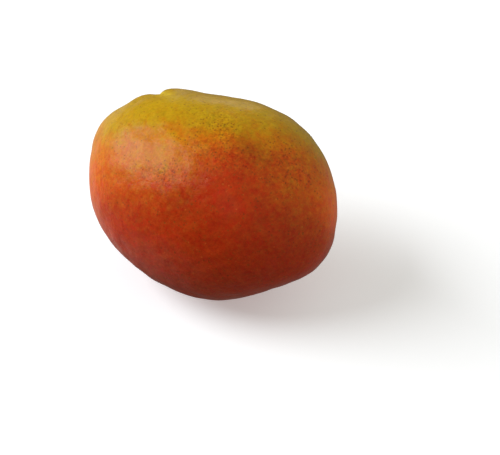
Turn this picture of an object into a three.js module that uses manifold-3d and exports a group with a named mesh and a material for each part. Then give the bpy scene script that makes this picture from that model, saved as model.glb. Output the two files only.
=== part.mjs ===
// A whole ripe mango, lying on its side on a small flat spot.
// Millimetres, +Z up. +X runs from the stem end to the apex, and -Y faces the side that is seen.
// The origin is the middle of the footprint, at the height of the surface it lies on.
import * as THREE from 'three';
import { mergeVertices } from 'three/addons/utils/BufferGeometryUtils.js';
import Module from 'manifold-3d';

// The plain egg of the fruit, as half sizes: along its length, from belly to back, and from cheek to cheek.
const HALF_LENGTH = 60.5;
const HALF_WIDTH = 47.2;
const HALF_THICKNESS = 42.5;
// How much slimmer the apex end is than the middle, and how far the belly-to-back outline bows.
const APEX_TAPER = 0.013;
const BOW = 3.0;

// Swellings and hollows of the skin. along is the angle round the fruit's outline, from the apex (0) over the
// back (90) to the stem end (180) and the belly (270). side leans it to the near cheek. Both and reach, which
// is how far the form spreads, are degrees. rise is its height in millimetres.
const BACK_FULLNESS = { along: 60, side: 0, reach: 31, rise: 3.9 };
const BACK_HOLLOW = { along: 102, side: 0, reach: 18.5, rise: -1.4 };
const STEM_END_SHOULDER = { along: 166.5, side: 0, reach: 17.5, rise: 3.7 };
const STEM_END_FLAT = { along: 192, side: 0, reach: 23, rise: -1.0 };
const BELLY_FLAT = { along: 250, side: 0, reach: 24, rise: -3.0 };
const APEX_BEAK = { along: -14, side: 0, reach: 22, rise: 2.9 };
const SINUS_BELOW_BEAK = { along: -48, side: 0, reach: 20, rise: -1.9 };
const STEM_BASIN = { along: 136, side: -7, reach: 7.5, rise: -4.0 };
const BACK_LIP = { along: 121.7, side: 2.8, reach: 9.9, rise: 1.5 };
const BELLY_LIP = { along: 138, side: 3, reach: 7.5, rise: 1.4 };
const FORMS = [
  BACK_FULLNESS, BACK_HOLLOW, STEM_END_SHOULDER, STEM_END_FLAT, BELLY_FLAT,
  APEX_BEAK, SINUS_BELOW_BEAK, STEM_BASIN, BACK_LIP, BELLY_LIP,
];

// The fold that runs out of the stem basin, over its lip and on to the near cheek. It is steep on the back's
// side and gentle on the belly's. slant turns it towards the back, and the widths are degrees.
const FOLD = { along: 129.4, side: 2, slant: 20, backWidth: 1.2, bellyWidth: 2.4, depth: 4.3, length: 5.1 };

// The corky scar in the basin, where the stem broke off: a low button with a dimple, radii in degrees.
const SCAR = { radius: 3.4, edge: 0.7, rise: 1.0, dimpleRadius: 1.3, dimple: 0.7 };

// How the fruit lies: its back is rolled this far up from level, and this much of it is pressed flat.
const ROLL = 54.5;
const FLAT_SPOT_DEPTH = 1.0;

// The skin's facets: cells along each side of the cube that the ball is made from, an even number so that a
// row of corners follows the fold. They crowd, from 0 for even cells to below 1, round a point of the fold
// that is this many degrees from its centre, towards the stem.
const CELLS = 28;
const CROWDING = 0.66;
const CROWDED_FROM_FOLD = 5;

const radians = THREE.MathUtils.degToRad;
const degrees = THREE.MathUtils.radToDeg;

function direction(along, side) {
  const inPlane = Math.cos(radians(side));
  return new THREE.Vector3(
    Math.cos(radians(along)) * inPlane,
    Math.sin(radians(along)) * inPlane,
    Math.sin(radians(side)),
  );
}

// A form's share of its rise at a direction: 1 at its centre, falling smoothly to 0.
function spread(towards, centre, reach) {
  const sharpness = 1 / (1 - Math.cos(radians(reach)));
  return Math.exp(-sharpness * (1 - towards.dot(centre)));
}

// A direction turned by an angle towards another that is square to it.
function turned(from, to, angle) {
  return from.clone().multiplyScalar(Math.cos(angle)).addScaledVector(to, Math.sin(angle));
}

// The fold's centre, the way it runs and the way across it, towards the belly.
function foldFrame() {
  const centre = direction(FOLD.along, FOLD.side);
  const toNearCheek = direction(FOLD.along, FOLD.side + 90);
  const toBelly = new THREE.Vector3().crossVectors(toNearCheek, centre);
  const slant = radians(FOLD.slant);
  const run = turned(toNearCheek, toBelly, -slant);
  const across = turned(toBelly, toNearCheek, slant);
  return { centre, run, across };
}

const fold = foldFrame();
const stem = direction(STEM_BASIN.along, STEM_BASIN.side);

function foldDepth(towards) {
  if (towards.dot(fold.centre) <= 0) return 0;
  const alongRun = degrees(Math.asin(towards.dot(fold.run)));
  const aside = degrees(Math.asin(towards.dot(fold.across)));
  const width = aside > 0 ? FOLD.bellyWidth : FOLD.backWidth;
  return FOLD.depth * Math.exp(-Math.abs(aside) / width) * Math.exp(-0.5 * (alongRun / FOLD.length) ** 2);
}

// 1 inside a radius round the stem, 0 outside it, with a soft edge. All in degrees.
function disc(towards, radius, edge) {
  const away = degrees(towards.angleTo(stem));
  return 0.5 - 0.5 * Math.tanh((away - radius) / edge);
}

function scarHeight(towards) {
  const button = SCAR.rise * disc(towards, SCAR.radius, SCAR.edge);
  return button - SCAR.dimple * disc(towards, SCAR.dimpleRadius, SCAR.edge);
}

// The skin's point in a direction from the fruit's middle: x to the apex, y to the back, z to the near cheek.
function skinPoint(towards) {
  const girth = 1 - APEX_TAPER * towards.x;
  const outwards = new THREE.Vector3(
    towards.x / HALF_LENGTH,
    towards.y / HALF_WIDTH,
    towards.z / HALF_THICKNESS,
  ).normalize();
  let height = scarHeight(towards) - foldDepth(towards);
  for (const form of FORMS) {
    height += form.rise * spread(towards, direction(form.along, form.side), form.reach);
  }
  const egg = new THREE.Vector3(
    HALF_LENGTH * towards.x,
    HALF_WIDTH * towards.y * girth + BOW * (towards.x ** 2 - 1 / 3),
    HALF_THICKNESS * towards.z * girth,
  );
  return egg.addScaledVector(outwards, height);
}

// A cube of cells blown up to an even ball of directions, with the cells drawn in round the fold.
function crowdedBall() {
  const ball = new THREE.BoxGeometry(2, 2, 2, CELLS, CELLS, CELLS);
  ball.deleteAttribute('normal');
  ball.deleteAttribute('uv');
  const merged = mergeVertices(ball);
  const position = merged.getAttribute('position');
  const point = new THREE.Vector3();
  const pole = new THREE.Vector3(0, 0, 1);
  const evenOut = (value) => Math.tan((value * Math.PI) / 4);
  for (let i = 0; i < position.count; i += 1) {
    point.fromBufferAttribute(position, i);
    point.set(evenOut(point.x), evenOut(point.y), evenOut(point.z)).normalize();
    const fromPole = point.angleTo(pole);
    const axis = new THREE.Vector3().crossVectors(pole, point);
    if (axis.lengthSq() > 0) {
      point.copy(pole).applyAxisAngle(axis.normalize(), fromPole - CROWDING * Math.sin(fromPole));
    }
    position.setXYZ(i, point.x, point.y, point.z);
  }
  const shift = radians(CROWDED_FROM_FOLD);
  const crowd = turned(fold.centre, fold.run, -shift);
  const alongFold = turned(fold.run, fold.centre, shift);
  return merged.applyMatrix4(new THREE.Matrix4().makeBasis(fold.across, alongFold, crowd));
}

function fruitGeometry() {
  const geometry = crowdedBall();
  const position = geometry.getAttribute('position');
  const towards = new THREE.Vector3();
  for (let i = 0; i < position.count; i += 1) {
    towards.fromBufferAttribute(position, i).normalize();
    const point = skinPoint(towards);
    position.setXYZ(i, point.x, point.y, point.z);
  }
  geometry.rotateX(radians(ROLL));
  return geometry;
}

const wasm = await Module();
wasm.setup();

function toSolid(geometry) {
  const triangles = new wasm.Mesh({
    numProp: 3,
    vertProperties: new Float32Array(geometry.getAttribute('position').array),
    triVerts: new Uint32Array(geometry.getIndex().array),
  });
  return new wasm.Manifold(triangles);
}

function toGeometry(solid) {
  const triangles = solid.getMesh();
  const geometry = new THREE.BufferGeometry();
  geometry.setAttribute('position', new THREE.BufferAttribute(new Float32Array(triangles.vertProperties), 3));
  geometry.setIndex(new THREE.BufferAttribute(new Uint32Array(triangles.triVerts), 1));
  return geometry;
}

// Takes off what lies below the flat spot.
function cutFlatSpot(fruit) {
  fruit.computeBoundingBox();
  const size = fruit.boundingBox.getSize(new THREE.Vector3());
  const seat = fruit.boundingBox.min.z + FLAT_SPOT_DEPTH;
  const below = new THREE.BoxGeometry(size.x * 2, size.y * 2, size.z);
  below.deleteAttribute('normal');
  below.deleteAttribute('uv');
  below.translate(0, 0, seat - size.z / 2);
  return toGeometry(toSolid(fruit).subtract(toSolid(mergeVertices(below))));
}

function standOnOrigin(geometry) {
  geometry.computeBoundingBox();
  const centre = geometry.boundingBox.getCenter(new THREE.Vector3());
  geometry.translate(-centre.x, -centre.y, -geometry.boundingBox.min.z);
  geometry.computeVertexNormals();
  return geometry;
}

// Waxy skin: orange under a red blush, satin.
function skinMaterial() {
  return new THREE.MeshStandardMaterial({ color: 0xb4511c, roughness: 0.38, metalness: 0 });
}

function mango() {
  const mesh = new THREE.Mesh(standOnOrigin(cutFlatSpot(fruitGeometry())), skinMaterial());
  mesh.name = 'mango';
  return mesh;
}

const fruit = new THREE.Group();
fruit.add(mango());

export default fruit;
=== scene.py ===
import math
from types import SimpleNamespace

import bmesh
import bpy
import numpy as np
from mathutils import Euler, Matrix, Quaternion, Vector


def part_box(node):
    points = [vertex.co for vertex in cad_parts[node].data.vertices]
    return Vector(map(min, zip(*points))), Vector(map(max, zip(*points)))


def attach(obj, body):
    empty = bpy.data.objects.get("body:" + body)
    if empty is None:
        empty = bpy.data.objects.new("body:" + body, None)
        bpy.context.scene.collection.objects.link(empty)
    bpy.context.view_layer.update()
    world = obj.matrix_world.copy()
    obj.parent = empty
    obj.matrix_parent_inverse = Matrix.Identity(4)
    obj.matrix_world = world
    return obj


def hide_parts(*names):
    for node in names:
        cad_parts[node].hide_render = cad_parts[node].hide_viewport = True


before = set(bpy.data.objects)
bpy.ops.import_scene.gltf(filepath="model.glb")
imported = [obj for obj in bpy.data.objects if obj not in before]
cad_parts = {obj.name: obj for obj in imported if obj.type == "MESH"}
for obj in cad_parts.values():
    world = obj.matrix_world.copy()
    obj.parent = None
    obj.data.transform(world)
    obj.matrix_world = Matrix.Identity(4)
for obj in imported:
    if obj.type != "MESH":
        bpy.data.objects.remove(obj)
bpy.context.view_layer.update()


# The fruit's shape. A mango grows as one piece: a blunt egg with two full cheeks, a fuller back, a flatter
# belly and a faint beak at the apex. The stem sat in a small basin high on the stem end, and a fold runs
# out of it over its lip. Where the fruit lies, its weight presses a small spot flat.
HALF_LENGTH = 0.0605
HALF_WIDTH = 0.0472
HALF_THICKNESS = 0.0425
APEX_TAPER = 0.013
BOW = 0.003
ROLL = math.radians(54.5)
FLAT_SPOT_DEPTH = 0.001

# Where the stem sat, and the swellings and hollows of the skin. A place is degrees round the outline (apex
# 0, back 90, stem end 180, belly 270) and degrees towards the near cheek. A form is its place, how many
# degrees it spreads and how far it rises.
STEM_PLACE = (136, -7)
FORMS = {
    "back fullness": (60, 0, 31, 0.0039),
    "back hollow": (102, 0, 18.5, -0.0014),
    "stem end shoulder": (166.5, 0, 17.5, 0.0037),
    "stem end flat": (192, 0, 23, -0.001),
    "belly flat": (250, 0, 24, -0.003),
    "apex beak": (-14, 0, 22, 0.0029),
    "sinus below the beak": (-48, 0, 20, -0.0019),
    "stem basin": (*STEM_PLACE, 7.5, -0.004),
    "back lip": (121.7, 2.8, 9.9, 0.0015),
    "belly lip": (138, 3, 7.5, 0.0014),
}

# The fold is steep on the back's side and gentle on the belly's. Its widths and length are degrees.
FOLD_ALONG = 129.4
FOLD_SIDE = 2
FOLD_SLANT = math.radians(20)
FOLD_BACK_WIDTH = 1.2
FOLD_BELLY_WIDTH = 2.4
FOLD_DEPTH = 0.0043
FOLD_LENGTH = 5.1

# The stem scar is a low corky button with a dimple and five faint lobes. Its radii are degrees.
SCAR_RADIUS = 3.4
SCAR_EDGE = 0.5
SCAR_RISE = 0.001
SCAR_DIMPLE_RADIUS = 1.3
SCAR_DIMPLE = 0.0007
SCAR_LOBES = 5
SCAR_LOBE_SIZE = 0.25

# The skin's faint unevenness: how many waves, how high each is, and their shortest and longest.
DENT_COUNT = 36
DENT_HEIGHT = 0.000018
DENT_WAVES = (0.007, 0.018)
DENT_SEED = 11

# Cells along each side of the cube that the skin is made from. They crowd, from 0 for even cells to below 1,
# round a point of the fold that is this far from its centre, towards the stem.
CELLS = 118
CROWDING = 0.62
CROWDED_FROM_FOLD = math.radians(5)


def direction(along, side):
    """A unit direction from the fruit's middle: x to the apex, y to the back, z to the near cheek."""
    along, side = math.radians(along), math.radians(side)
    return np.array([
        math.cos(along) * math.cos(side),
        math.sin(along) * math.cos(side),
        math.sin(side),
    ])


def sharpness(reach):
    """How sharply a form falls off that spreads this many degrees."""
    return 1 / (1 - math.cos(math.radians(reach)))


def unit(vectors):
    return vectors / np.linalg.norm(vectors, axis=-1, keepdims=True)


stem = direction(*STEM_PLACE)
fold_centre = direction(FOLD_ALONG, FOLD_SIDE)
to_near_cheek = direction(FOLD_ALONG, FOLD_SIDE + 90)
to_belly = np.cross(to_near_cheek, fold_centre)
fold_run = math.cos(FOLD_SLANT) * to_near_cheek - math.sin(FOLD_SLANT) * to_belly
fold_across = math.cos(FOLD_SLANT) * to_belly + math.sin(FOLD_SLANT) * to_near_cheek


def degrees_along(towards, axis):
    return np.degrees(np.arcsin(np.clip(towards @ axis, -1, 1)))


def fold_depth(towards):
    run = degrees_along(towards, fold_run)
    aside = degrees_along(towards, fold_across)
    width = np.where(aside > 0, FOLD_BELLY_WIDTH, FOLD_BACK_WIDTH)
    profile = np.exp(-np.abs(aside) / width - 0.5 * (run / FOLD_LENGTH) ** 2)
    return FOLD_DEPTH * profile * (towards @ fold_centre > 0)


def scar_height(towards):
    away = np.degrees(np.arccos(np.clip(towards @ stem, -1, 1)))
    turn = np.arctan2(towards @ fold_run, towards @ fold_across)
    ragged = SCAR_RADIUS + SCAR_LOBE_SIZE * np.cos(SCAR_LOBES * turn)
    button = 0.5 - 0.5 * np.tanh((away - ragged) / SCAR_EDGE)
    dimple = 0.5 - 0.5 * np.tanh((away - SCAR_DIMPLE_RADIUS) / SCAR_EDGE)
    return SCAR_RISE * button - SCAR_DIMPLE * dimple


def dents(points):
    """Soft unevenness of the skin, from a few dozen faint waves that run every way."""
    draw = np.random.default_rng(DENT_SEED)
    waves = unit(draw.normal(size=(DENT_COUNT, 3))) * 2 * math.pi
    waves /= draw.uniform(*DENT_WAVES, DENT_COUNT)[:, None]
    phases = draw.uniform(0, 2 * math.pi, DENT_COUNT)
    return DENT_HEIGHT * np.cos(points @ waves.T + phases).sum(axis=1)


def skin_points(towards):
    girth = 1 - APEX_TAPER * towards[:, 0]
    egg = np.stack([
        HALF_LENGTH * towards[:, 0],
        HALF_WIDTH * towards[:, 1] * girth + BOW * (towards[:, 0] ** 2 - 1 / 3),
        HALF_THICKNESS * towards[:, 2] * girth,
    ], axis=-1)
    outwards = unit(towards / (HALF_LENGTH, HALF_WIDTH, HALF_THICKNESS))
    height = scar_height(towards) - fold_depth(towards) + dents(egg)
    for along, side, reach, rise in FORMS.values():
        height += rise * np.exp(-sharpness(reach) * (1 - towards @ direction(along, side)))
    return egg + height[:, None] * outwards


def ball_of_cells(name):
    """An even ball of square cells, with no pole, and the directions of its corners."""
    grid = bmesh.new()
    bmesh.ops.create_cube(grid, size=2)
    bmesh.ops.subdivide_edges(grid, edges=grid.edges[:], cuts=CELLS - 1, use_grid_fill=True)
    mesh = bpy.data.meshes.new(name)
    grid.to_mesh(mesh)
    grid.free()
    corners = np.empty(len(mesh.vertices) * 3)
    mesh.vertices.foreach_get("co", corners)
    return mesh, unit(np.tan(corners.reshape(-1, 3) * math.pi / 4))


def crowd_round_fold(towards):
    """Draws the cells in round the stem's fold, with one row of corners along it."""
    from_pole = np.arccos(np.clip(towards[:, 2], -1, 1))
    drawn_in = from_pole - CROWDING * np.sin(from_pole)
    shrink = np.sin(drawn_in) / np.maximum(np.sin(from_pole), 1e-9)
    local = np.stack([towards[:, 0] * shrink, towards[:, 1] * shrink, np.cos(drawn_in)], axis=-1)
    near, far = math.cos(CROWDED_FROM_FOLD), math.sin(CROWDED_FROM_FOLD)
    pole = near * fold_centre - far * fold_run
    along_fold = near * fold_run + far * fold_centre
    return unit(local @ np.stack([fold_across, along_fold, pole]))


skin_mesh, cell_corners = ball_of_cells("mango_skin")
skin = skin_points(crowd_round_fold(cell_corners))
lying = np.array(Matrix.Rotation(ROLL, 3, "X"))
skin = skin @ lying.T
seat = skin[:, 2].min() + FLAT_SPOT_DEPTH
skin[:, 2] = np.maximum(skin[:, 2], seat)
node_low, node_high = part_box("mango")
middle = (node_low + node_high) / 2
fruit_middle = Vector((
    middle.x - (skin[:, 0].min() + skin[:, 0].max()) / 2,
    middle.y - (skin[:, 1].min() + skin[:, 1].max()) / 2,
    node_low.z - seat,
))
skin_mesh.vertices.foreach_set("co", (skin + np.array(fruit_middle)).ravel())
skin_mesh.polygons.foreach_set("use_smooth", [True] * len(skin_mesh.polygons))
skin_mesh.update()
mango_skin = bpy.data.objects.new("mango_skin", skin_mesh)
bpy.context.scene.collection.objects.link(mango_skin)


# The skin's finish. Ripe skin is thin, waxy and satin: olive to golden yellow over the back and round the
# stem, orange where the colours meet, and a deep red blush on the cheek and belly that the sun reached. It
# is finely mottled and set with small pores, some pale and some dark, and the stem scar is dry brown cork.
# YELLOW_BACK is the way to the yellowest skin, and the row of colours runs from -1, away from it, to 1.
YELLOW_BACK = (-0.34, 0.93, -0.14)
SKIN_COLOURS = (
    (-1.0, (0.43, 0.044, 0.013)),
    (-0.65, (0.44, 0.032, 0.003)),
    (-0.35, (0.43, 0.042, 0.003)),
    (-0.05, (0.49, 0.074, 0.003)),
    (0.20, (0.50, 0.113, 0.003)),
    (0.36, (0.50, 0.152, 0.002)),
    (0.48, (0.465, 0.186, 0.002)),
    (0.62, (0.445, 0.235, 0.003)),
    (0.78, (0.443, 0.262, 0.003)),
    (1.0, (0.41, 0.243, 0.003)),
)

# Where the skin is redder or yellower than its distance from YELLOW_BACK alone makes it. Each patch is
# placed and spreads as the forms are, and its last number moves the skin along the row of colours.
COLOUR_PATCHES = {
    "red heart of the blush": (40, 65, 23, -0.64),
    "orange flush beside it": (100, 73, 16, 0.30),
    "red flank towards the apex": (45, 25, 9, -0.20),
    "olive edge of the back": (53, -8, 12, 0.34),
    "yellow below the fold": (98, 38, 9, 0.05),
    "golden shoulder": (150, 30, 10, 0.13),
    "dark belly": (250, 45, 22, -0.36),
    "orange apex": (10, 5, 18, 0.07),
    "orange over the shoulder": (116, 54, 8, -0.08),
    "yellow low on the cheek": (152, 64, 8, 0.09),
    "yellow in the orange flush": (80, 66, 7, 0.12),
    "olive behind the blush": (67, 35, 6, 0.09),
    "red edge of the blush": (57, 48, 6, -0.09),
    "red near the apex": (34, 20, 6, -0.13),
    "golden near the apex": (20, 37, 8, 0.10),
    "red below the cheek": (11, 63, 6, -0.15),
    "red of the near belly": (268, 60, 12, -0.12),
    "red above the blush": (66, 54, 5, -0.07),
    "red beside the apex": (14, 21, 6, -0.08),
}

# Where the skin as a whole is duller or brighter, and where it is thickest set with fine dark specks, laid
# out the same way. Most duller and brighter patches are the skin's own tone; those at the apex, on the flank
# near it and at the stem end are painted rim light along the fruit's edges.
TONE_AND_RIM_LIGHT_PATCHES = {
    "dusky flank": (56, 42, 8, -0.25),
    "dusky low cheek": (0, 84, 8, -0.12),
    "bright heart of the blush": (22, 64, 11, 0.14),
    "dusky above the blush": (66, 41, 6, -0.13),
    "dusky edge of the flank": (48, 37, 6, -0.11),
    # painted rim light: the skin brightened along the fruit's edge on the flank near the apex
    "painted rim light on the flank near the apex": (23, 15, 12, 0.22),
    "bright shoulder": (110, 58, 9, 0.08),
    # painted rim light: the skin brightened along the fruit's edge round the apex
    "painted rim light at the apex": (17, -4, 15, 0.55),
    # painted rim light: the skin brightened along the fruit's edge at the stem end
    "painted rim light at the stem end": (190, 40, 16, 0.18),
}
SPECKLED_PATCHES = {
    "on the cheek": (124, 77, 8, 1.0),
    "on the yellow": (86, 37, 6, 0.8),
    "where yellow meets red": (77, 43, 6, 1.0),
    "in the blush": (82, 58, 9, 0.7),
    "in the heart of the blush": (58, 54, 9, 0.6),
    "near the apex": (40, 28, 11, 0.8),
}

# The pale flare that runs out of the stem's fold and fades. Each last number is how much it shows there.
PALE_FLARE = {
    "at the fold's end": (124, 12, 2.4, 0.9),
    "below it": (121, 16, 3.2, 0.6),
    "where it fades": (116, 22, 4.5, 0.30),
}
PALE_FLARE_COLOUR = (0.64, 0.46, 0.03, 1)

# The mottling, coarse to fine: lumps to the metre, how many finer layers ride on them and how strong each
# finer layer is. The streaks run out from the stem, so theirs are lumps to the half girth.
STREAKS = (9, 5, 0.65)
STREAK_LENGTH = 0.5
CLOUDS = (60, 3, 0.55)
PATCHES = (130, 3, 0.6)
LUMPS = (190, 3, 0.5)
BLOTCHES = (210, 3, 0.6)
FLECKS = (300, 5, 0.75)
GRAIN = (700, 3, 0.7)
CORK_GRAIN = (1500, 4, 0.7)

# How far each moves the skin along the row of colours, and how far each lightens and darkens it. The flecks
# tell most in the green of the red skin, which flecks it with orange. Skin is fully red below RED_BELOW in
# the row of colours, and not at all above RED_ENDS.
STREAKS_IN_COLOUR = 0.45
CLOUDS_IN_COLOUR = 0.26
PATCHES_IN_COLOUR = 0.16
FLECKS_IN_COLOUR = 0.40
STREAKS_IN_SHADE = 0.20
BLOTCHES_IN_SHADE = 0.30
GRAIN_IN_SHADE = 0.70
GRAIN_IN_SPECKLED_SHADE = 1.0
FLECKS_IN_GREEN = 0.3
FLECKS_IN_GREEN_OF_RED = 2.1
RED_ENDS = 0.55
RED_BELOW = -0.05

# Pores, one to a cell: cells to the metre, and where the dot's edge starts and ends, as shares of a cell.
# Each cell draws a number from 0 to 1 for a pale corky dot and another for a dark one. A dot shows faintly
# above the first number given and fully above the second.
PORES = 430
PORE_EDGE = (0.20, 0.08)
PALE_PORE_DRAW = (0.45, 0.75)
PALE_PORE_COLOUR = (0.65, 0.19, 0.03, 1)
PALE_PORE_STRENGTH = 0.30
DARK_PORE_DRAW = (0.70, 0.90)
DARK_PORE_COLOUR = (0.12, 0.030, 0.004, 1)
DARK_PORE_STRENGTH = 0.55

# Specks are finer pits, also one to a cell. The speckled places and the patches raise what the cells draw
# there, so that more of them show.
SPECKS = 880
SPECK_EDGE = (0.52, 0.18)
SPECK_DRAW = (0.80, 1.0)
SPECKLED_PLACES_IN_SPECKS = 0.50
PATCHES_IN_SPECKS = 0.70
SPECK_COLOUR = (0.17, 0.046, 0.006, 1)
SPECK_STRENGTH = 0.60

# The cork of the stem scar and the greener skin of its basin. Each edge runs from where it starts to where
# it has faded in, as distances from the stem on a ball of radius 1.
CORK_EDGE = (0.070, 0.056)
CORK_COLOURS = ((0.07, 0.035, 0.015, 1), (0.24, 0.14, 0.07, 1))
CORK_CONTRAST = (-0.2, 0.2)
BASIN_EDGE = (0.26, 0.08)
BASIN_COLOUR = (0.30, 0.25, 0.03, 1)
BASIN_STRENGTH = 0.45

# The wax's gloss, and the fine relief that is too small to model, in metres.
WAX_IOR = 1.24
WAX_ROUGHNESS = 0.33
PATCHES_IN_ROUGHNESS = 0.20
FLECKS_IN_ROUGHNESS = 0.20
CORK_ROUGHER_BY = 0.40
GRAIN_HEIGHT = 0.00010
LUMP_HEIGHT = 0.00040
PORE_DEPTH = -0.00002
CORK_HEIGHT = 0.0004


class Nodes:
    """Places the nodes of one material or of the surround, and joins them up."""

    def __init__(self, tree):
        self.tree = tree

    def add(self, kind, settings=None, **inputs):
        """Places a node. Inputs go by name, with _ for a space, or by i and the socket's number."""
        node = self.tree.nodes.new(kind)
        for name, value in (settings or {}).items():
            setattr(node, name, value)
        for name, value in inputs.items():
            key = int(name[1:]) if name[1:].isdigit() else name.replace("_", " ")
            self.feed(node.inputs[key], value)
        return node

    def feed(self, socket, value):
        if isinstance(value, bpy.types.NodeSocket):
            self.tree.links.new(value, socket)
        else:
            socket.default_value = value

    def math(self, operation, first, second=0.0, third=0.0):
        node = self.add("ShaderNodeMath", {"operation": operation}, i0=first, i1=second, i2=third)
        return node.outputs[0]

    def vector(self, operation, first, second=(0, 0, 0), output=0):
        node = self.add("ShaderNodeVectorMath", {"operation": operation}, i0=first, i1=second)
        return node.outputs[output]

    def along(self, first, direction_to):
        """How far one direction points along a fixed one: 1 the same way, 0 square to it, -1 away."""
        return self.vector("DOT_PRODUCT", first, tuple(direction_to), output="Value")

    def noise(self, place, scale, detail, roughness):
        """Noise centred on 0, from about -0.5 to 0.5."""
        node = self.add("ShaderNodeTexNoise", Vector=place, Scale=scale, Detail=detail, Roughness=roughness)
        return self.math("SUBTRACT", node.outputs["Fac"], 0.5)

    def step(self, value, low, high):
        """0 at low and 1 at high, smooth between them."""
        smooth = {"interpolation_type": "SMOOTHSTEP"}
        node = self.add("ShaderNodeMapRange", smooth, Value=value, From_Min=low, From_Max=high)
        return node.outputs["Result"]

    def blend(self, amount, first, second, mode="MIX"):
        settings = {"data_type": "RGBA", "blend_type": mode}
        return self.add("ShaderNodeMix", settings, i0=amount, i6=first, i7=second).outputs[2]

    def add_parts(self, value, *parts):
        """A value with parts added to it, each a socket and how much of it."""
        for part, amount in parts:
            value = self.math("MULTIPLY_ADD", part, amount, value)
        return value


def skin_marks(nodes):
    """The places and the mottling that the skin's colour, gloss and relief share."""
    place = nodes.add("ShaderNodeTexCoord").outputs["Object"]
    own = nodes.add("ShaderNodeMapping", {"vector_type": "TEXTURE"}, Vector=place)
    own.inputs["Location"].default_value = fruit_middle
    own.inputs["Rotation"].default_value = Euler((ROLL, 0, 0))
    own = own.outputs[0]
    towards = nodes.vector("DIVIDE", own, (HALF_LENGTH, HALF_WIDTH, HALF_THICKNESS))
    towards = nodes.vector("NORMALIZE", towards)

    to_stem = nodes.along(towards, stem)
    down_stem = nodes.add("ShaderNodeVectorMath", {"operation": "SCALE"}, i0=tuple(stem), Scale=to_stem)
    spoke = nodes.vector("NORMALIZE", nodes.vector("SUBTRACT", towards, down_stem.outputs[0]))
    down_spoke = nodes.vector("MULTIPLY", down_stem.outputs[0], (STREAK_LENGTH,) * 3)
    spoke = nodes.vector("ADD", spoke, down_spoke)

    pores = nodes.add("ShaderNodeTexVoronoi", Vector=own, Scale=PORES)
    from_stem = nodes.vector("DISTANCE", towards, tuple(stem), output="Value")
    return SimpleNamespace(
        own=own,
        towards=towards,
        streaks=nodes.noise(spoke, *STREAKS),
        clouds=nodes.noise(own, *CLOUDS),
        patches=nodes.noise(own, *PATCHES),
        flecks=nodes.noise(own, *FLECKS),
        grain=nodes.noise(own, *GRAIN),
        pore_dot=nodes.step(pores.outputs["Distance"], *PORE_EDGE),
        pore_draws=nodes.add("ShaderNodeSeparateColor", Color=pores.outputs["Color"]),
        cork=nodes.step(from_stem, *CORK_EDGE),
        basin=nodes.step(from_stem, *BASIN_EDGE),
        cork_grain=nodes.noise(own, *CORK_GRAIN),
    )


def patch(nodes, towards, along, side, reach):
    """How near the skin is to a place: 1 there, and falling smoothly to 0."""
    near = nodes.along(towards, direction(along, side))
    return nodes.math("EXPONENT", nodes.math("MULTIPLY_ADD", near, sharpness(reach), -sharpness(reach)))


def add_patches(nodes, towards, value, entries):
    for along, side, reach, amount in entries.values():
        value = nodes.add_parts(value, (patch(nodes, towards, along, side, reach), amount))
    return value


def row_colour(nodes, marks, yellowness):
    """The skin's colour for its place in the row of colours, from red over orange to yellow."""
    yellowness = nodes.add_parts(
        yellowness,
        (marks.clouds, CLOUDS_IN_COLOUR),
        (marks.patches, PATCHES_IN_COLOUR),
        (marks.flecks, FLECKS_IN_COLOUR),
        (marks.streaks, STREAKS_IN_COLOUR),
    )
    ramp = nodes.add("ShaderNodeValToRGB", Fac=nodes.math("MULTIPLY_ADD", yellowness, 0.5, 0.5))
    stops = ramp.color_ramp.elements
    stops.remove(stops[1])
    for place, colour in SKIN_COLOURS:
        stop = stops.new((place + 1) / 2)
        stop.color = (*colour, 1)
    stops.remove(stops[0])
    return ramp.outputs["Color"]


def mottled_with_rim_light(nodes, marks, colour, redness, speckled):
    """The colour lightened and darkened, some of it painted rim light, and in the red skin flecked with
    orange.
    """
    # The patches bring painted rim light at the apex, on the flank near it and at the stem end.
    tone_and_rim_light = add_patches(nodes, marks.towards, 1.0, TONE_AND_RIM_LIGHT_PATCHES)
    tone_and_rim_light = nodes.add_parts(
        tone_and_rim_light,
        (marks.grain, GRAIN_IN_SHADE),
        (nodes.math("MULTIPLY", marks.grain, speckled), GRAIN_IN_SPECKLED_SHADE),
        (nodes.noise(marks.own, *BLOTCHES), BLOTCHES_IN_SHADE),
        (marks.streaks, STREAKS_IN_SHADE),
    )
    flecked = nodes.math("MULTIPLY_ADD", redness, FLECKS_IN_GREEN_OF_RED, FLECKS_IN_GREEN)
    green = nodes.math("MULTIPLY_ADD", marks.flecks, flecked, tone_and_rim_light)
    tint = nodes.add("ShaderNodeCombineColor", Red=tone_and_rim_light, Green=green, Blue=green)
    return nodes.blend(1.0, colour, tint.outputs[0], "MULTIPLY")


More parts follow.
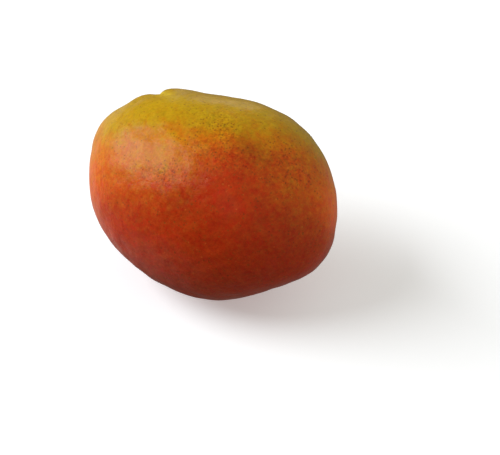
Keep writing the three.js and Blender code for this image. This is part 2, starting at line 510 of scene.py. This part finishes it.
def skin_colour(nodes, marks):
    yellowness = nodes.along(marks.towards, Vector(YELLOW_BACK).normalized())
    yellowness = add_patches(nodes, marks.towards, yellowness, COLOUR_PATCHES)
    redness = nodes.step(yellowness, RED_ENDS, RED_BELOW)
    colour = row_colour(nodes, marks, yellowness)
    flare = add_patches(nodes, marks.towards, 0.0, PALE_FLARE)
    colour = nodes.blend(flare, colour, PALE_FLARE_COLOUR)

    pale = nodes.step(marks.pore_draws.outputs["Green"], *PALE_PORE_DRAW)
    pale = nodes.math("MULTIPLY", marks.pore_dot, pale)
    dark = nodes.step(marks.pore_draws.outputs["Red"], *DARK_PORE_DRAW)
    dark = nodes.math("MULTIPLY", marks.pore_dot, dark)
    colour = nodes.blend(nodes.math("MULTIPLY", pale, PALE_PORE_STRENGTH), colour, PALE_PORE_COLOUR)
    colour = nodes.blend(nodes.math("MULTIPLY", dark, DARK_PORE_STRENGTH), colour, DARK_PORE_COLOUR)

    pits = nodes.add("ShaderNodeTexVoronoi", Vector=marks.own, Scale=SPECKS)
    draw = nodes.add("ShaderNodeSeparateColor", Color=pits.outputs["Color"]).outputs["Red"]
    speckled = add_patches(nodes, marks.towards, 0.0, SPECKLED_PATCHES)
    draw = nodes.add_parts(draw, (speckled, SPECKLED_PLACES_IN_SPECKS), (marks.patches, PATCHES_IN_SPECKS))
    speck = nodes.math("MULTIPLY", nodes.step(pits.outputs["Distance"], *SPECK_EDGE), SPECK_STRENGTH)
    speck = nodes.math("MULTIPLY", speck, nodes.step(draw, *SPECK_DRAW))
    colour = nodes.blend(speck, colour, SPECK_COLOUR)
    colour = mottled_with_rim_light(nodes, marks, colour, redness, speckled)

    colour = nodes.blend(nodes.math("MULTIPLY", marks.basin, BASIN_STRENGTH), colour, BASIN_COLOUR)
    cork_colour = nodes.blend(nodes.step(marks.cork_grain, *CORK_CONTRAST), *CORK_COLOURS)
    return nodes.blend(marks.cork, colour, cork_colour)


def skin_material():
    material = bpy.data.materials.new("mango_skin")
    material.use_nodes = True
    nodes = Nodes(material.node_tree)
    shader = material.node_tree.nodes["Principled BSDF"]
    marks = skin_marks(nodes)

    colour = skin_colour(nodes, marks)
    nodes.feed(shader.inputs["Base Color"], colour)
    rough = nodes.math("MULTIPLY_ADD", marks.patches, PATCHES_IN_ROUGHNESS, WAX_ROUGHNESS)
    rough = nodes.add_parts(rough, (marks.flecks, FLECKS_IN_ROUGHNESS), (marks.cork, CORK_ROUGHER_BY))
    nodes.feed(shader.inputs["Roughness"], rough)
    shader.inputs["IOR"].default_value = WAX_IOR

    height = nodes.add_parts(
        nodes.math("MULTIPLY", marks.grain, GRAIN_HEIGHT),
        (nodes.noise(marks.own, *LUMPS), LUMP_HEIGHT),
        (marks.pore_dot, PORE_DEPTH),
        (nodes.math("MULTIPLY", marks.cork, marks.cork_grain), CORK_HEIGHT),
    )
    bump = nodes.add("ShaderNodeBump", Height=height, Distance=1.0, Strength=1.0)
    nodes.feed(shader.inputs["Normal"], bump.outputs["Normal"])
    return material


skin_mesh.materials.append(skin_material())
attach(mango_skin, "root")
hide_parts("mango")


# The floor is a wide sheet of plain white matt paper that the fruit lies on, a little lit from below so that
# it stays white. It throws no light of its own back on the fruit: the surround below stands for that.
FLOOR_HALF_WIDTH = 10.0
FLOOR_WHITE = (0.83, 0.86, 0.90, 1)
FLOOR_ROUGHNESS = 0.9
FLOOR_GLOSS = 0.2
FLOOR_GLOW = 0.30


def paper_material():
    material = bpy.data.materials.new("white_paper")
    material.use_nodes = True
    shader = material.node_tree.nodes["Principled BSDF"]
    shader.inputs["Base Color"].default_value = FLOOR_WHITE
    shader.inputs["Roughness"].default_value = FLOOR_ROUGHNESS
    shader.inputs["Specular IOR Level"].default_value = FLOOR_GLOSS
    shader.inputs["Emission Color"].default_value = (1, 1, 1, 1)
    shader.inputs["Emission Strength"].default_value = FLOOR_GLOW
    return material


def paper_floor():
    half = FLOOR_HALF_WIDTH
    mesh = bpy.data.meshes.new("paper_floor")
    corners = [(-half, -half, 0), (half, -half, 0), (half, half, 0), (-half, half, 0)]
    mesh.from_pydata(corners, [], [(0, 1, 2, 3)])
    mesh.materials.append(paper_material())
    floor = bpy.data.objects.new("paper_floor", mesh)
    floor.visible_diffuse = False
    floor.visible_glossy = False
    bpy.context.scene.collection.objects.link(floor)
    return floor


paper_floor()


# The light is plain and soft. A long oval lamp hangs high on the left, a small faint one low behind. The
# surround is cream and brighter to the right, with two soft glows from below on the left: a white one nearer
# the front, and a brighter warm one further round, such as a lit table throws.
KEY_AZIMUTH = math.radians(-70)
KEY_ELEVATION = math.radians(35)
KEY_DISTANCE = 2.2
KEY_LENGTH = 3.0
KEY_BREADTH = 1.4
KEY_LEAN = math.radians(44)
KEY_POWER = 66
BACK_AZIMUTH = math.radians(-154)
BACK_ELEVATION = math.radians(9)
BACK_DISTANCE = 1.2
BACK_SIZE = 0.35
BACK_POWER = 0.5
SURROUND_AZIMUTH = math.radians(115)
SURROUND_ELEVATION = math.radians(25)
SURROUND_EDGE = -0.3
SURROUND_DIM = 0.15
SURROUND_BRIGHT = 0.72
SURROUND_COLOUR = (1.0, 0.96, 0.85, 1)
FRONT_AZIMUTH = math.radians(-60)
FRONT_ELEVATION = math.radians(-28)
FRONT_EDGE = (0.64, 0.94)
FRONT_BRIGHT = 0.33
FRONT_COLOUR = (1.0, 0.98, 1.0, 1)
TABLE_AZIMUTH = math.radians(-112)
TABLE_ELEVATION = math.radians(-28)
TABLE_EDGE = (0.87, 0.98)
TABLE_BRIGHT = 1.25
TABLE_COLOUR = (0.85, 0.56, 0.42, 1)


def away_from_fruit(azimuth, elevation):
    """The direction out from the fruit at an azimuth, 0 in front and positive to the right."""
    return Vector((
        math.sin(azimuth) * math.cos(elevation),
        -math.cos(azimuth) * math.cos(elevation),
        math.sin(elevation),
    ))


def soft_lamp(name, azimuth, elevation, distance, size, lean, power):
    """An oval lamp that faces the fruit, with its long side leaning from level."""
    lamp = bpy.data.lights.new(name, "AREA")
    lamp.shape = "ELLIPSE"
    lamp.size, lamp.size_y = size
    lamp.energy = power
    out = away_from_fruit(azimuth, elevation)
    facing = out.to_track_quat("Z", "Y") @ Quaternion((0, 0, 1), lean)
    light = bpy.data.objects.new(name, lamp)
    light.location = middle + distance * out
    light.rotation_euler = facing.to_euler()
    light.visible_camera = False
    bpy.context.scene.collection.objects.link(light)


def soft_surround():
    world = bpy.data.worlds.new("soft_surround")
    world.use_nodes = True
    nodes = Nodes(world.node_tree)
    background = world.node_tree.nodes["Background"]
    outwards = nodes.add("ShaderNodeTexCoord").outputs["Generated"]

    right = nodes.along(outwards, away_from_fruit(SURROUND_AZIMUTH, SURROUND_ELEVATION))
    glow = nodes.add("ShaderNodeMapRange", Value=right, From_Min=SURROUND_EDGE)
    glow.inputs["To Min"].default_value = SURROUND_DIM
    glow.inputs["To Max"].default_value = SURROUND_BRIGHT
    front = nodes.along(outwards, away_from_fruit(FRONT_AZIMUTH, FRONT_ELEVATION))
    front = nodes.step(front, *FRONT_EDGE)
    table = nodes.along(outwards, away_from_fruit(TABLE_AZIMUTH, TABLE_ELEVATION))
    table = nodes.step(table, *TABLE_EDGE)
    colour = nodes.blend(front, SURROUND_COLOUR, FRONT_COLOUR)
    nodes.feed(background.inputs["Color"], nodes.blend(table, colour, TABLE_COLOUR))
    strength = nodes.add_parts(glow.outputs["Result"], (front, FRONT_BRIGHT), (table, TABLE_BRIGHT))
    nodes.feed(background.inputs["Strength"], strength)
    bpy.context.scene.world = world


soft_lamp("key", KEY_AZIMUTH, KEY_ELEVATION, KEY_DISTANCE, (KEY_LENGTH, KEY_BREADTH), KEY_LEAN, KEY_POWER)
soft_lamp("back", BACK_AZIMUTH, BACK_ELEVATION, BACK_DISTANCE, (BACK_SIZE, BACK_SIZE), 0.0, BACK_POWER)
soft_surround()
bpy.context.scene.view_settings.view_transform = "Standard"


# The camera looks down on the fruit from its front right, and keeps it above and left of the picture's
# middle. The lens is long, so that the fruit is seen almost without perspective.
CAMERA_AZIMUTH = math.radians(29)
CAMERA_ELEVATION = math.radians(42)
CAMERA_DISTANCE = 1.2
SENSOR_WIDTH = 36
PHOTO_WIDTH = 500
PHOTO_PIXELS_PER_METRE = 2170
FRUIT_LEFT_OF_MIDDLE = 0.0184
FRUIT_ABOVE_MIDDLE = 0.0149

camera_data = bpy.data.cameras.new("camera")
camera_data.sensor_width = SENSOR_WIDTH
camera_data.lens = SENSOR_WIDTH * CAMERA_DISTANCE * PHOTO_PIXELS_PER_METRE / PHOTO_WIDTH
camera = bpy.data.objects.new("camera", camera_data)
bpy.context.scene.collection.objects.link(camera)
back = away_from_fruit(CAMERA_AZIMUTH, CAMERA_ELEVATION)
right = Vector((math.cos(CAMERA_AZIMUTH), math.sin(CAMERA_AZIMUTH), 0))
up = back.cross(right)
camera.location = fruit_middle + CAMERA_DISTANCE * back
camera.location += FRUIT_LEFT_OF_MIDDLE * right - FRUIT_ABOVE_MIDDLE * up
camera.rotation_euler = Matrix((right, up, back)).transposed().to_euler()
bpy.context.scene.camera = camera
